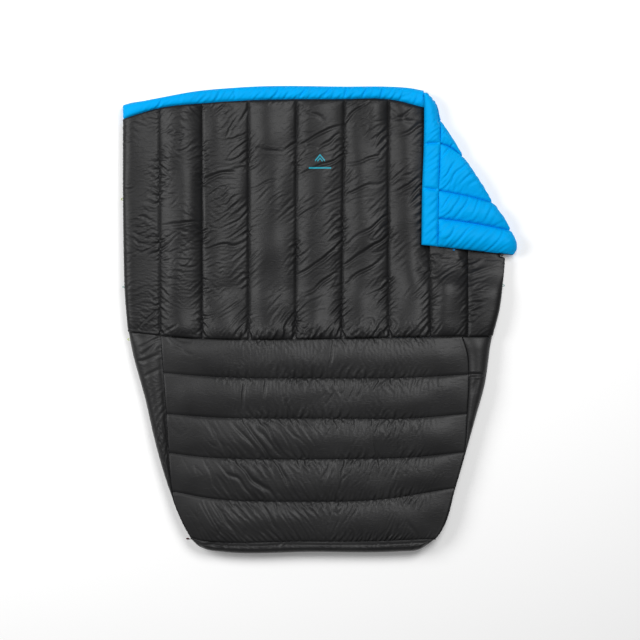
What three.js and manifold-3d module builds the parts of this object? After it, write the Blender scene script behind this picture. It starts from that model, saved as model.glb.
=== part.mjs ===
// A double quilt for camping, laid out flat with its upper right corner turned back.
// Millimetres, +Z up, +Y towards the head end. The origin is on the floor, under the middle of the quilt.
import * as THREE from "three";
import { mergeVertices } from "three/addons/utils/BufferGeometryUtils.js";
import Module from "manifold-3d";

const wasm = await Module();
wasm.setup();

// Padding
const SEAM = 15; // thickness where a layer is sewn through
const CROWN = 46; // thickness in the middle of a channel
const HEM = 11; // thickness at a free edge
const LAYER = 47; // height at which a second layer lies on the first
const SLIT = 2; // air between two folded layers
const GAP = 0.3; // between neighbouring pieces
const WAIST_GAP = 1; // between the upper quilt and the footbox, along their long curved seam
const BACK_INSET = 4; // how far the hidden back of the footbox stays inside its seams
const LINING = 1.5; // thickness of the blue lining
const UNEVEN = 2.5; // how unevenly the down lies

// Slopes and side margins
const MARGIN = 245; // width of a side margin folded under the quilt
const MARGIN_SLOPE = 125; // over which the top layer comes down beside the margin
const FOOT_SLOPE = 150; // over which the top layer climbs to the footbox
const FOLD_RADIUS = 46; // of the fold round the turned corner

// Fittings
const CORD = 3; // thickness of the loops
const LOOP_WIDTH = 9;
const LOOP_REACH = 8;
const STUD_RADIUS = 6.5;
const STUD_HEIGHT = 4;

// A smooth line through a few [along, value] pairs.
function line(...pairs) {
  const along = pairs.map((pair) => pair[0]);
  const values = pairs.map((pair) => pair[1]);
  const cubic = new THREE.CubicInterpolant(along, values, 1, new Float64Array(1));
  return (at) => cubic.evaluate(clamp(at, along[0], along.at(-1)))[0];
}
const { clamp, lerp } = THREE.MathUtils;

// Outline, seen from above
const leftSide = line([-1003, -500], [-937, -558], [-743, -646], [-520, -712], [-348, -751], [-112, -813],
  [82, -836], [300, -843], [560, -846], [920, -845]);
const rightSide = line([-1000, 440], [-902, 525], [-727, 580], [-557, 630], [-412, 671], [-282, 707],
  [-90, 736], [39, 770], [163, 786], [300, 800]);
const headEdge = line([-846, 920], [-689, 951], [-504, 984], [-283, 1003], [86, 1003], [382, 997], [447, 985]);
const footEdge = line([-558, -945], [-519, -979], [-414, -1002], [-40, -1002], [342, -1000], [430, -990], [492, -950]);

// The turned corner, seen from above
const foldSide = line([270, 826], [307, 844], [378, 824], [503, 744], [701, 617], [861, 516], [982, 456]);
const cornerEdge = line([319, 436], [560, 439], [745, 446], [985, 448]);
const cornerBandSeam = line([319, 505], [560, 510], [861, 516]);
const cornerHem = line([436, 319], [844, 276]);
const cornerSeams = [[319, 276], [440, 381], [563, 501], [748, 699], [850, 850]]; // height at the edge and the fold

// Seams of the upper quilt and the footbox, seen from above
const collarSeam = line([-843, 860], [-689, 906], [-504, 927], [-304, 943], [86, 948], [305, 946], [447, 912]);
const waistSeam = line([-813, -55], [-681, -71], [-480, -84], [43, -84], [342, -78], [734, -74]);
const channelSeams = [[-688, -692], [-505, -507], [-307, -308], [-104, -101], [92, 106], [295, 295], [473, 473],
  [635, 644]]; // across, at the waist and at the collar
const footSeam = line([-558, -937], [-499, -952], [-86, -955], [189, -955], [490, -943]);
const footboxSeams = [
  footSeam,
  line([-625, -742], [-438, -774], [-86, -784], [243, -776], [567, -727]),
  line([-652, -574], [-486, -594], [86, -601], [408, -593], [599, -573]),
  line([-656, -408], [-410, -424], [43, -427], [374, -427], [625, -407]),
  line([-669, -231], [-410, -250], [43, -255], [342, -253], [631, -238]),
  waistSeam,
];
const leftPanelSeam = line([-955, -546], [-937, -556], [-790, -624], [-742, -634], [-574, -649], [-408, -659],
  [-231, -672], [-60, -684]);
const rightPanelSeam = line([-955, 488], [-902, 523], [-727, 578], [-600, 614], [-557, 622], [-408, 631],
  [-240, 638], [-150, 632], [-70, 608]);
const LEFT_PANEL_BAY = 1; // the bay of the footbox at which each side panel starts, from the foot
const RIGHT_PANEL_BAY = 2;

// Shares of a channel, a bay or an edge at which a grid has its lines
const CHANNEL_STEPS = [0, 0.1, 0.35, 0.65, 0.9];
const EDGE_STEPS = [0, 0.04, 0.14, 0.3, 0.34, 0.6, 0.88];
const LENGTH_STEPS = [0, 0.03, 0.1, 0.2, 0.3, 0.36, 0.41, 0.55, 0.7, 0.88, 0.975, 1];
const MARGIN_STEPS = [0.15, 0.2, 0.3, 0.5, 0.7, 0.9, 1];
const SHORT_STEPS = [0, 0.1, 0.35, 0.7, 1];
const BAND_STEPS = [0, 0.12, 0.5, 0.88, 1];
const FLAT_STEPS = [0, 0.08, 0.3, 0.6, 1];
const TURN_DEGREES = [25, 50, 75, 105, 130, 155, 180];
const ACROSS_STEPS = [0, 0.02, 0.07, 0.14, 0.22, 0.35, 0.5, 0.65, 0.78, 0.86, 0.93, 0.98, 1];
const PANEL_STEPS = [0, 0.08, 0.25, 0.5, 0.8, 1];

const smooth = (from, to, at) => THREE.MathUtils.smoothstep((at - from) / (to - from), 0, 1);

// The bulge of a filled channel: 0 at its two seams, 1 in the middle.
const bulge = (share) => Math.sqrt(Math.max(0, 4 * share * (1 - share)));

// A quarter of a round edge: 0 at its rim, 1 from the full share on.
const quarter = (share) => Math.sqrt(1 - (1 - clamp(share, 0, 1)) ** 2);

// The slow rise and fall of the down inside the channels.
const uneven = (x, y) => UNEVEN * (Math.sin(x / 61 + y / 97) + Math.sin(y / 43 - x / 157)) / 2;

// The underside of a folded edge, at a distance from its rim.
const roundUnder = (edge) => LAYER * (1 - quarter(edge / LAYER));

// A closed patch of padding: a unit box cut into columns and rows, each point of which goes where place says.
function patch(columns, rows, place) {
  const box = new THREE.BoxGeometry(1, 1, 1, columns, rows, 1);
  const position = box.attributes.position;
  const point = new THREE.Vector3();
  for (let i = 0; i < position.count; i += 1) {
    point.fromBufferAttribute(position, i).addScalar(0.5);
    const upper = point.z > 0.5;
    const [x, y, z] = place(Math.round(point.x * columns), Math.round(point.y * rows), upper);
    position.setXYZ(i, x, y, z);
  }
  box.deleteAttribute("normal");
  box.deleteAttribute("uv");
  // The squares of the underside are cut along the same diagonals as those of the top, so stacked patches match.
  const { start, count } = box.groups[5];
  for (let i = start; i < start + count; i += 6) {
    const [a, b, d, , c] = box.index.array.slice(i, i + 6);
    box.index.array.set([a, b, c, a, c, d], i);
  }
  return mergeVertices(box, 1e-3);
}

function solid(geometry) {
  return new wasm.Manifold(new wasm.Mesh({
    numProp: 3,
    vertProperties: new Float32Array(geometry.attributes.position.array),
    triVerts: new Uint32Array(geometry.index.array),
  }));
}

// Several overlapping patches joined into one geometry.
function joined(...geometries) {
  const mesh = geometries.map(solid).reduce((sum, next) => sum.add(next)).getMesh();
  const geometry = new THREE.BufferGeometry();
  geometry.setAttribute("position", new THREE.BufferAttribute(mesh.vertProperties, 3));
  geometry.setIndex(new THREE.BufferAttribute(mesh.triVerts, 1));
  return geometry;
}

const quilt = new THREE.Group();
const shell = { color: 0x2f2f31, roughness: 0.42, metalness: 0 };
const lining = { color: 0x0aa0ee, roughness: 0.5, metalness: 0 };

function add(name, geometry, finish) {
  const mesh = new THREE.Mesh(geometry, new THREE.MeshStandardMaterial(finish));
  mesh.name = name;
  quilt.add(mesh);
  return mesh;
}

// ---- The upper layer: channels side by side, the outer two with a round folded edge ----

const INNER_COLUMNS = (channelSeams.length - 1) * CHANNEL_STEPS.length;
const UPPER_COLUMNS = INNER_COLUMNS + 2 * EDGE_STEPS.length;
const TURNED_ABOVE = 268; // the right side is turned over above this line and folded under below it
const QUILT_FOLD_TOP = 770; // the quilt runs into the fold below this line, and stops short of the collar above it

const quiltRadius = (y) => Math.min(FOLD_RADIUS, 0.6 * (foldSide(y) - cornerBandSeam(y)));
const collarRadius = (y) => Math.min(FOLD_RADIUS, 0.6 * (foldSide(y) - cornerEdge(y)));
const quiltEnd = (y) => (y < QUILT_FOLD_TOP ? foldSide(y) - quiltRadius(y) + 4 : foldSide(y) - collarRadius(y) - 14);
const collarEnd = (y) => foldSide(y) - collarRadius(y) + 5;

// The height of what the top layer lies on: a folded margin, the back of the footbox, or the floor.
function ground(x, y) {
  const left = smooth(leftSide(y) + MARGIN + MARGIN_SLOPE, leftSide(y) + MARGIN, x);
  const tucked = smooth(cornerHem(x) - 20, cornerHem(x) - 110, y);
  const right = smooth(rightSide(y) - MARGIN - MARGIN_SLOPE, rightSide(y) - MARGIN, x) * tucked;
  const foot = smooth(waistSeam(x) + FOOT_SLOPE, waistSeam(x), y);
  return LAYER * (1 - (1 - left) * (1 - right) * (1 - foot));
}

// Where a column of the upper layer runs, and how far across its channel it is.
function column(index, share, y, end) {
  const turned = y > TURNED_ABOVE;
  const right = turned ? end(y) : rightSide(y);
  const inner = channelSeams.map(([low, high], i) => {
    const x = lerp(low, high, share);
    return turned ? Math.min(x, right - 6 * (channelSeams.length - i)) : x;
  });
  const seams = [leftSide(y), ...inner, right];
  const fromRight = UPPER_COLUMNS - index;
  if (index <= EDGE_STEPS.length) {
    const step = [...EDGE_STEPS, 1][index];
    return { x: lerp(seams[0], seams[1], step), across: lerp(0.35, 1, step), folded: true };
  }
  if (fromRight <= EDGE_STEPS.length) {
    const step = [...EDGE_STEPS, 1][fromRight];
    return { x: lerp(seams.at(-1), seams.at(-2), step), across: lerp(0.35, 1, step), folded: !turned };
  }
  const channel = Math.floor((index - EDGE_STEPS.length) / CHANNEL_STEPS.length) + 1;
  const step = CHANNEL_STEPS[(index - EDGE_STEPS.length) % CHANNEL_STEPS.length];
  return { x: lerp(seams[channel], seams[channel + 1], step), across: step, folded: false };
}

// The height of the top or the underside of the upper layer, which is pressed flat under the turned corner.
function height(spot, y, filled, upper) {
  const under = ground(spot.x, y);
  const edge = Math.min(spot.x - leftSide(y), rightSide(y) - spot.x);
  const round = spot.folded && edge < LAYER * 0.98;
  if (!upper) {
    return round ? roundUnder(edge) : under;
  }
  if (round) {
    return LAYER + (under + filled - LAYER) * quarter(edge / LAYER);
  }
  const hem = cornerHem(spot.x);
  const covered = smooth(cornerEdge(y), cornerEdge(y) + 30, spot.x) * smooth(hem - 60, hem - 20, y);
  return lerp(under + filled, Math.min(under + filled, LAYER - SLIT), covered);
}

// One run of the upper layer, between two lines across the quilt.
function run(steps, low, high, shareOf, end, fill) {
  return patch(UPPER_COLUMNS, steps.length - 1, (index, row, upper) => {
    const step = steps[row];
    const share = shareOf(step);
    const guess = column(index, share, lerp(low(0), high(0), step), end);
    const spot = column(index, share, lerp(low(guess.x), high(guess.x), step), end);
    const y = lerp(low(spot.x), high(spot.x), step);
    return [spot.x, y, height(spot, y, fill(spot, y, step), upper)];
  });
}

// The margin that is folded in under one side, from its fold to its hem.
function margin(isLeft, steps, low, high) {
  return patch(MARGIN_STEPS.length - 1, steps.length - 1, (index, row, upper) => {
    const inward = MARGIN_STEPS[isLeft ? index : MARGIN_STEPS.length - 1 - index];
    const across = (y) => (isLeft ? leftSide(y) + inward * MARGIN : rightSide(y) - inward * MARGIN);
    const guess = lerp(low(across(0)), high(across(0)), steps[row]);
    const y = lerp(low(across(guess)), high(across(guess)), steps[row]);
    const top = lerp(HEM, LAYER - SLIT - GAP, quarter((1 - inward) * 3));
    return [across(y), y, upper ? top : Number(inward < 0.2)];
  });
}

// ---- The turned corner ----

const CORNER_ROWS = (cornerSeams.length - 1) * CHANNEL_STEPS.length;
const CORNER_COLUMNS = FLAT_STEPS.length - 1 + TURN_DEGREES.length;

// A row of the turned corner: its height at the head edge and at the fold, and its thickness.
function cornerRow(row) {
  const bay = Math.min(Math.floor(row / CHANNEL_STEPS.length), cornerSeams.length - 2);
  const step = row === CORNER_ROWS ? 1 : CHANNEL_STEPS[row % CHANNEL_STEPS.length];
  const low = bay === 0 ? lerp(HEM, SEAM, step) : SEAM;
  return {
    head: lerp(cornerSeams[bay][0], cornerSeams[bay + 1][0], step),
    fold: lerp(cornerSeams[bay][1], cornerSeams[bay + 1][1], step),
    fill: lerp(low, CROWN - 2, bulge(step)),
  };
}

// A point of the corner. Columns run from its left seam to the fold, round the fold and down to the floor.
function cornerPoint(index, at, left, radius, lift) {
  const flat = FLAT_STEPS[Math.min(index, FLAT_STEPS.length - 1)];
  const degrees = index < FLAT_STEPS.length ? 0 : TURN_DEGREES[index - FLAT_STEPS.length];
  const turn = THREE.MathUtils.degToRad(degrees);
  const x = lerp(left, foldSide(at.fold) - radius, flat);
  const edge = cornerEdge(at.head);
  const y = lerp(at.head, at.fold, (x - edge) / (foldSide(at.fold) - edge));
  if (lift === null) {
    return [x + Math.sin(turn), y, LAYER - 1 + Math.cos(turn)]; // the inner side of the fold
  }
  const crest = lerp(SEAM, at.fill, quarter(0.15 + flat * 3)) + lift;
  const rise = degrees < 90 ? crest : LAYER + lift;
  return [x + (radius + lift) * Math.sin(turn), y, LAYER + rise * Math.cos(turn)];
}

// The corner between two lifts off its face; null is its inner side.
function corner(columns, inner, outer) {
  return patch(columns, CORNER_ROWS, (index, row, upper) => {
    const at = cornerRow(row);
    const left = cornerBandSeam(at.head) + 2 * GAP;
    return cornerPoint(index, at, left, quiltRadius(at.fold), upper ? outer : inner);
  });
}

const aboveWaist = (x) => waistSeam(x) + GAP;
const underCorner = (x) => cornerHem(x) - 40;
const lengthwise = (step) => quarter(0.25 + step * 9) * quarter(0.3 + (1 - step) * 12);
const channelFill = (spot, y, step) => SEAM
  + (CROWN - SEAM + uneven(spot.x, y)) * bulge(spot.across) * lengthwise(step);

add("upper_quilt", joined(
  run(LENGTH_STEPS, aboveWaist, collarSeam, (step) => step, quiltEnd, channelFill),
  margin(true, LENGTH_STEPS, aboveWaist, collarSeam),
  margin(false, SHORT_STEPS, aboveWaist, underCorner),
  corner(CORNER_COLUMNS, null, 0),
), shell);
const LINING_COLUMNS = CORNER_COLUMNS - 2; // the lining shows down to a little above the floor
add("corner_lining", corner(LINING_COLUMNS, GAP, GAP + LINING), lining);

// ---- The collar: a filled band along the head edge, turned over with the corner ----

const BAND_CROWN = CROWN - 6;
const BAND_ROWS = 7;
const BAND_BOTTOM = 319;
const BAND_FOLD_BOTTOM = 853;
const BAND_FOLD_TOP = 975;
const BAND_TOP = 872;
const BAND_TIP = 70; // the fold of the collar comes down over this length, to where it starts on the head edge
const BAND_TIP_HEIGHT = 0.45; // share of its height that is left at its very start

const aboveCollarSeam = (x) => collarSeam(x) + GAP;
const collarFill = (spot, y, step) => lerp(lerp(SEAM, HEM, step), BAND_CROWN, bulge(step));

// The flat stretch down the turned corner.
const bandStretch = patch(BAND_STEPS.length - 1, BAND_ROWS, (index, row, upper) => {
  const along = row / BAND_ROWS;
  const y = lerp(BAND_BOTTOM, BAND_TOP, along);
  const x = lerp(cornerEdge(y), cornerBandSeam(y), BAND_STEPS[index]);
  const drop = (BAND_BOTTOM - cornerHem(x)) * (1 - along);
  const fill = lerp(lerp(HEM, SEAM, BAND_STEPS[index]), BAND_CROWN, bulge(BAND_STEPS[index]));
  return [x, y - drop, upper ? LAYER + lerp(HEM, fill, quarter(0.1 + along * 6)) : LAYER];
});

// The stretch that goes over the fold.
const bandFold = patch(CORNER_COLUMNS, BAND_ROWS, (index, row, upper) => {
  const y = lerp(BAND_FOLD_BOTTOM, BAND_FOLD_TOP, row / BAND_ROWS);
  const at = { head: y, fold: y, fill: BAND_CROWN };
  const [x, lengthways, z] = cornerPoint(index, at, cornerEdge(y), collarRadius(y), upper ? 0 : null);
  return [x, lengthways, z * lerp(BAND_TIP_HEIGHT, 1, quarter((BAND_FOLD_TOP - y) / BAND_TIP))];
});

add("collar_band", joined(
  run(BAND_STEPS, aboveCollarSeam, headEdge, () => 1, collarEnd, collarFill),
  margin(true, [0, 1], aboveCollarSeam, headEdge),
  bandStretch,
  bandFold,
), lining);

// ---- The footbox: a top panel with channels across it, two side panels, a foot end and a back ----

const footboxLeft = (y) => leftPanelSeam(y) + GAP;
const footboxRight = (y) => rightPanelSeam(y) - GAP;
const FOOTBOX_ROWS = (footboxSeams.length - 1) * CHANNEL_STEPS.length;
const belowWaist = (x) => waistSeam(x) - WAIST_GAP;
const aboveFoot = (x) => footSeam(x) + GAP;

// A row of the footbox: how far it is between its two seams, and its line across the quilt.
function footboxRow(row) {
  const bay = Math.min(Math.floor(row / CHANNEL_STEPS.length), footboxSeams.length - 2);
  const step = row === FOOTBOX_ROWS ? 1 : CHANNEL_STEPS[row % CHANNEL_STEPS.length];
  const heightAt = (x) => lerp(footboxSeams[bay](x), footboxSeams[bay + 1](x), step);
  return { step, heightAt: (x) => clamp(heightAt(x), aboveFoot(x), belowWaist(x)) };
}

// The point at a share of the way across the footbox, on a line across the quilt.
function acrossFootbox(share, heightAt) {
  let x = lerp(footboxLeft(heightAt(0)), footboxRight(heightAt(0)), share);
  for (let i = 0; i < 6; i += 1) {
    x = lerp(footboxLeft(heightAt(x)), footboxRight(heightAt(x)), share);
  }
  return [x, heightAt(x)];
}

add("footbox_top", patch(ACROSS_STEPS.length - 1, FOOTBOX_ROWS, (index, row, upper) => {
  const { step, heightAt } = footboxRow(row);
  const share = ACROSS_STEPS[index];
  const [x, y] = acrossFootbox(share, heightAt);
  const inward = quarter(Math.min(share, 1 - share) * 9);
  const fill = SEAM + (CROWN - SEAM + uneven(x, y)) * bulge(step) * inward;
  return [x, y, LAYER + 1 + GAP + (upper ? fill : 0)];
}), shell);

add("footbox_back", patch(ACROSS_STEPS.length - 1, SHORT_STEPS.length - 1, (index, row, upper) => {
  const share = ACROSS_STEPS[index];
  const heightAt = (x) => lerp(aboveFoot(x) + BACK_INSET, belowWaist(x) - BACK_INSET, SHORT_STEPS[row]);
  const [x, y] = acrossFootbox(share, heightAt);
  const edge = Math.min(x - footboxLeft(y), footboxRight(y) - x);
  const inset = lerp(BACK_INSET, -BACK_INSET, share);
  return [x + inset, y, upper ? LAYER + 1 : roundUnder(edge)];
}), shell);

// The top of a panel that rolls over an outer edge: highest in its middle, low at its inner seam.
const PANEL_CROWN = 38;
function rolledTop(across, width) {
  const crown = Math.min(PANEL_CROWN, SEAM + 0.45 * width);
  return LAYER + 1 + (across < 0.5 ? quarter(across * 2) * crown : lerp(SEAM, crown, bulge(across)));
}

// A side panel of the footbox. Its rows meet those of the top panel.
const PANEL_LEVEL = 200; // below the waist seam its rows become level over this length
function sidePanel(isLeft, firstBay) {
  const outer = isLeft ? leftSide : rightSide;
  const inner = isLeft ? leftPanelSeam : rightPanelSeam;
  const firstRow = firstBay * CHANNEL_STEPS.length;
  const columns = PANEL_STEPS.length - 1;
  const waistAt = acrossFootbox(isLeft ? 0 : 1, belowWaist);
  return patch(columns, FOOTBOX_ROWS - firstRow, (index, row, upper) => {
    const across = PANEL_STEPS[isLeft ? index : columns - index];
    const [innerX, innerY] = acrossFootbox(isLeft ? 0 : 1, footboxRow(firstRow + row).heightAt);
    const tilt = clamp(1 - (waistAt[1] - innerY) / PANEL_LEVEL, 0, 1);
    const end = isLeft ? innerX - GAP : innerX + GAP;
    let x = lerp(outer(innerY), end, across);
    const y = innerY + (waistSeam(x) - waistSeam(innerX)) * tilt;
    x = lerp(outer(y), end, across);
    const width = Math.abs(inner(innerY) - outer(innerY));
    const full = quarter(0.3 + (waistAt[1] - innerY) / 80);
    const top = LAYER + 1 + (rolledTop(across, width) - LAYER - 1) * full;
    return [x, y, upper ? top : roundUnder(across * width)];
  });
}
add("footbox_side_left", sidePanel(true, LEFT_PANEL_BAY), shell);
add("footbox_side_right", sidePanel(false, RIGHT_PANEL_BAY), shell);

add("foot_end", patch(ACROSS_STEPS.length - 1, PANEL_STEPS.length - 1, (index, row, upper) => {
  const [x, seam] = acrossFootbox(ACROSS_STEPS[index], aboveFoot);
  const across = PANEL_STEPS[row];
  const width = seam - GAP - footEdge(x);
  return [x, lerp(footEdge(x), seam - GAP, across), upper ? rolledTop(across, width) : roundUnder(across * width)];
}), shell);

// ---- Fittings ----

// A loop of cord whose two ends are sewn side by side, standing out at an angle.
function loop(name, x, y, z, degrees, color) {
  const half = (LOOP_WIDTH - CORD) / 2;
  const path = new THREE.CatmullRomCurve3([[0, -half], [LOOP_REACH * 0.6, -half], [LOOP_REACH, 0],
    [LOOP_REACH * 0.6, half], [0, half]].map(([out, side]) => new THREE.Vector3(out, side, 0)));
  const section = new THREE.Shape().absarc(0, 0, CORD / 2, 0, 2 * Math.PI);
  const geometry = new THREE.ExtrudeGeometry(section, { steps: 10, curveSegments: 2, extrudePath: path });
  const mesh = add(name, geometry, { color, roughness: 0.7, metalness: 0 });
  mesh.position.set(x, y, z);
  mesh.rotation.z = THREE.MathUtils.degToRad(degrees);
}

const BLACK = 0x151515;
const YELLOW = 0xc8d420;
const TEAL = 0x9fd8d8;
loop("loop_left_upper", leftSide(515) - 2, 515, LAYER, 180, YELLOW);
loop("loop_left_lower", leftSide(-88) - 2, -88, LAYER, 180, YELLOW);
loop("tab_left", leftSide(138) - 2, 138, LAYER, 180, TEAL);
loop("tab_right", rightSide(144) + 2, 144, LAYER, 0, TEAL);
loop("loop_corner_upper", cornerEdge(750) - 2, 750, LAYER + 6, 180, BLACK);
loop("loop_corner_lower", cornerEdge(556) - 2, 556, LAYER + 6, 180, BLACK);
loop("loop_corner_side", 576, cornerHem(576) - 2, LAYER + 6, -90, 0x1f8fd0);

const stud = new THREE.CylinderGeometry(STUD_RADIUS * 0.7, STUD_RADIUS, STUD_HEIGHT, 16);
const studMesh = add("press_stud", stud, { color: BLACK, roughness: 0.35, metalness: 0 });
studMesh.rotation.x = Math.PI / 2;
studMesh.position.set(782, cornerHem(782) - 8, LAYER + 10);

const cordTip = new THREE.CapsuleGeometry(CORD, LOOP_REACH, 4, 10);
const cordTipMesh = add("cord_end", cordTip, { color: 0x5a1a1e, roughness: 0.7, metalness: 0 });
cordTipMesh.rotation.z = Math.PI / 2;
cordTipMesh.position.set(-571, -948, CORD);

// The origin is under the middle of the whole.
const middle = new THREE.Box3().setFromObject(quilt, true).getCenter(new THREE.Vector3());
quilt.position.set(-middle.x, -middle.y, 0);

export default quilt;
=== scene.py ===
# %% [markdown]
# # A double quilt, laid out flat with one corner turned back
#
# The quilt has an upper half with channels that run lengthways, a footbox with channels across it, a blue
# collar along its head edge, and a blue lining that shows where the corner is turned over. Each of them is
# cloth filled with down. The frame, a plain solid of the same quilt, is loaded first and fixes every size.

# %% The frame
import math

import bmesh
import bpy
import numpy as np
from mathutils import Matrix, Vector


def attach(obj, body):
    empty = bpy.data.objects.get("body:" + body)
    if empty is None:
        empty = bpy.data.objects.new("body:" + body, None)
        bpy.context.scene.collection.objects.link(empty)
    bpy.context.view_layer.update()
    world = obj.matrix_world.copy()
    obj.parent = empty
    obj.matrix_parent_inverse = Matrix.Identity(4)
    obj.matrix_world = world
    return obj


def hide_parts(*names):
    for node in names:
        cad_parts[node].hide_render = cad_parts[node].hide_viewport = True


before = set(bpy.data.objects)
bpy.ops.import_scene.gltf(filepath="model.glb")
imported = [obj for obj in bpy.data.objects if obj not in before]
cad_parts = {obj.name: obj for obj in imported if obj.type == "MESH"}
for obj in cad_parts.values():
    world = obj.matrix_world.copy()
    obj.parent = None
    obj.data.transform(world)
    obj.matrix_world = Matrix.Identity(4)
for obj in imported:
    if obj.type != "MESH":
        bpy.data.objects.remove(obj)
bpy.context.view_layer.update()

# %% [markdown]
# ## Lines
#
# A quilt is drawn the way its maker marks the cloth: as an outline and a set of seams. Each line is a smooth
# curve through a few measured points. The lines are in millimetres from the middle of the quilt's pattern.
# The frame's origin is a few millimetres away from that point, so finished pieces are moved by that much.

# %% Smooth lines
TO_FRAME = np.array([6.387, 1.126, 0.0])


def line(*pairs):
    """A smooth function through [along, value] pairs, level with its ends outside them."""
    along, value = np.array(pairs, float).T
    secant = np.diff(value) / np.diff(along)
    slope = np.concatenate([secant[:1], (secant[1:] + secant[:-1]) / 2, secant[-1:]])

    def at(where):
        where = np.clip(np.asarray(where, float), along[0], along[-1])
        i = np.clip(np.searchsorted(along, where) - 1, 0, len(along) - 2)
        run = along[i + 1] - along[i]
        t = (where - along[i]) / run
        return ((1 + 2 * t) * (1 - t) ** 2 * value[i] + t * (1 - t) ** 2 * run * slope[i]
                + t * t * (3 - 2 * t) * value[i + 1] + t * t * (t - 1) * run * slope[i + 1])
    return at


left_side = line([-1003, -500], [-937, -558], [-743, -646], [-520, -712], [-348, -751], [-112, -813],
                 [82, -836], [300, -843], [560, -846], [920, -845])
right_side = line([-1000, 440], [-902, 525], [-727, 580], [-557, 630], [-412, 671], [-282, 707],
                  [-90, 736], [39, 770], [163, 786], [300, 800])
head_edge = line([-846, 920], [-689, 951], [-504, 984], [-283, 1003], [86, 1003], [382, 997], [447, 985])
foot_edge = line([-558, -945], [-519, -979], [-414, -1002], [-40, -1002], [342, -1000], [430, -990],
                 [492, -950])
fold_side = line([270, 826], [307, 844], [378, 824], [503, 744], [701, 617], [861, 520], [924, 498],
                 [982, 458])
corner_edge = line([319, 436], [560, 439], [745, 446], [985, 448])
corner_hem = line([436, 319], [844, 276])
collar_seam = line([-843, 860], [-689, 906], [-504, 927], [-304, 943], [86, 948], [305, 946], [447, 912])
waist_seam = line([-813, -55], [-681, -71], [-480, -84], [43, -84], [342, -78], [734, -74])
foot_seam = line([-558, -937], [-499, -952], [-86, -955], [189, -955], [490, -943])
footbox_seams = [
    foot_seam,
    line([-625, -742], [-438, -774], [-86, -784], [243, -776], [567, -727]),
    line([-652, -574], [-486, -594], [86, -601], [408, -593], [599, -573]),
    line([-656, -408], [-410, -424], [43, -427], [374, -427], [625, -407]),
    line([-669, -231], [-410, -250], [43, -255], [342, -253], [631, -238]),
    waist_seam,
]
left_panel_seam = line([-955, -546], [-937, -556], [-790, -624], [-742, -634], [-574, -649], [-408, -659],
                       [-231, -672], [-60, -684])
right_panel_seam = line([-955, 488], [-902, 523], [-727, 578], [-600, 614], [-557, 622], [-408, 631],
                        [-240, 638], [-150, 632], [-70, 608])
# Each channel seam of the upper half: where it is across the quilt at the waist, and at the collar.
channel_seams = [(-688, -692), (-505, -507), (-307, -308), (-104, -101), (92, 106), (295, 295), (473, 473),
                 (635, 644)]
# The seams of the turned corner: their height at its edge and at the fold.
corner_seams = [(319, 276), (440, 381), (563, 501), (748, 699), (850, 850), (975, 975)]
print("left side at the waist", left_side(-80.0))

# %% [markdown]
# ## Fields
#
# Filled cloth is never even. These helpers describe where it is full and where it is drawn in. `noise` is a
# sum of plane waves in directions drawn from a numbered seed, so it is smooth and is the same on every run.

# %% Fields
PLUMP = 20.0  # thickness just beside a seam, where the down already lifts the cloth
DRAWN_IN = 19.0  # the same, at the stitches themselves
CROWN = 46.0  # thickness in the middle of a channel
HEM = 11.0  # thickness at a free edge
LAYER = 47.0  # height at which a second layer lies on the first
SLIT = 2.0  # air between two folded layers
MARGIN = 245.0  # width of a side margin folded under the quilt
MARGIN_SLOPE = 250.0  # over which the top layer comes down beside a margin
FOOT_SLOPE = 230.0  # over which it climbs to the footbox
STEP = 5.0  # spacing of the threads of the cloth that is worked out here


def smooth(start, end, at):
    t = np.clip((at - start) / (end - start), 0, 1)
    return t * t * (3 - 2 * t)


def blend(a, b, share):
    return a + (b - a) * share


def bulge(share):
    return np.sqrt(np.maximum(4 * share * (1 - share), 0))


def puff(share):
    """The low arch of a channel between its two seams."""
    return 0.04 * bulge(share) + 0.96 * 4 * share * (1 - share)


def quarter(share):
    return np.sqrt(1 - (1 - np.clip(share, 0, 1)) ** 2)


def noise(x, y, scale, seed, waves=14):
    rng = np.random.default_rng(seed)
    total = 0
    for _ in range(waves):
        turn, phase = rng.uniform(0, 2 * math.pi, 2)
        wave = 2 * math.pi / (scale * rng.uniform(0.6, 1.8))
        total = total + np.sin((x * math.cos(turn) + y * math.sin(turn)) * wave + phase)
    return total / math.sqrt(waves / 2)


def crinkle(x, y, degrees, length, width, seed, cover=0.1):
    """Thin wandering creases in patches, about length long and width apart: 1 in a crease, 0 beside it."""
    turn = math.radians(degrees)
    u = x * math.cos(turn) + y * math.sin(turn)
    v = y * math.cos(turn) - x * math.sin(turn)
    field = noise(u / length, v / width, 2.2, seed)
    where = np.clip(noise(x, y, 190, seed + 50) + cover, 0, 1.3)
    return np.exp(-((field / 0.22) ** 2)) * where


def stations(*counts):
    """Where a grid has its lines, bay by bay: rows of (bay, share) that end at the last seam."""
    rows = [(bay, step / count) for bay, count in enumerate(counts) for step in range(count)]
    return np.array(rows + [(len(counts) - 1, 1.0)])


def even(length, step=STEP):
    """An even number of steps for a length, so that every second thread still lies on both seams."""
    return max(2, 2 * round(length / step / 2))


# %% [markdown]
# ## How the cloth settles
#
# A quilt's shell is a little longer than the outline it is sewn to, and the down pushes it out, so the spare
# cloth gathers into wrinkles between the seams. Blender's cloth simulation can do this, but a quilt of two
# metres needs a thread every five millimetres before its wrinkles look right, and that is slow. A woven cloth
# laid on a regular grid can be settled with whole-array arithmetic instead. Each round of `settle` pulls
# neighbouring points towards their rest distance along the two threads and the two diagonals, keeps bends
# soft, and holds the cloth gently to the form of the down. The coarse grid comes first, for the broad folds,
# and the fine one follows, for the small puckers along the seams.

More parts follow.
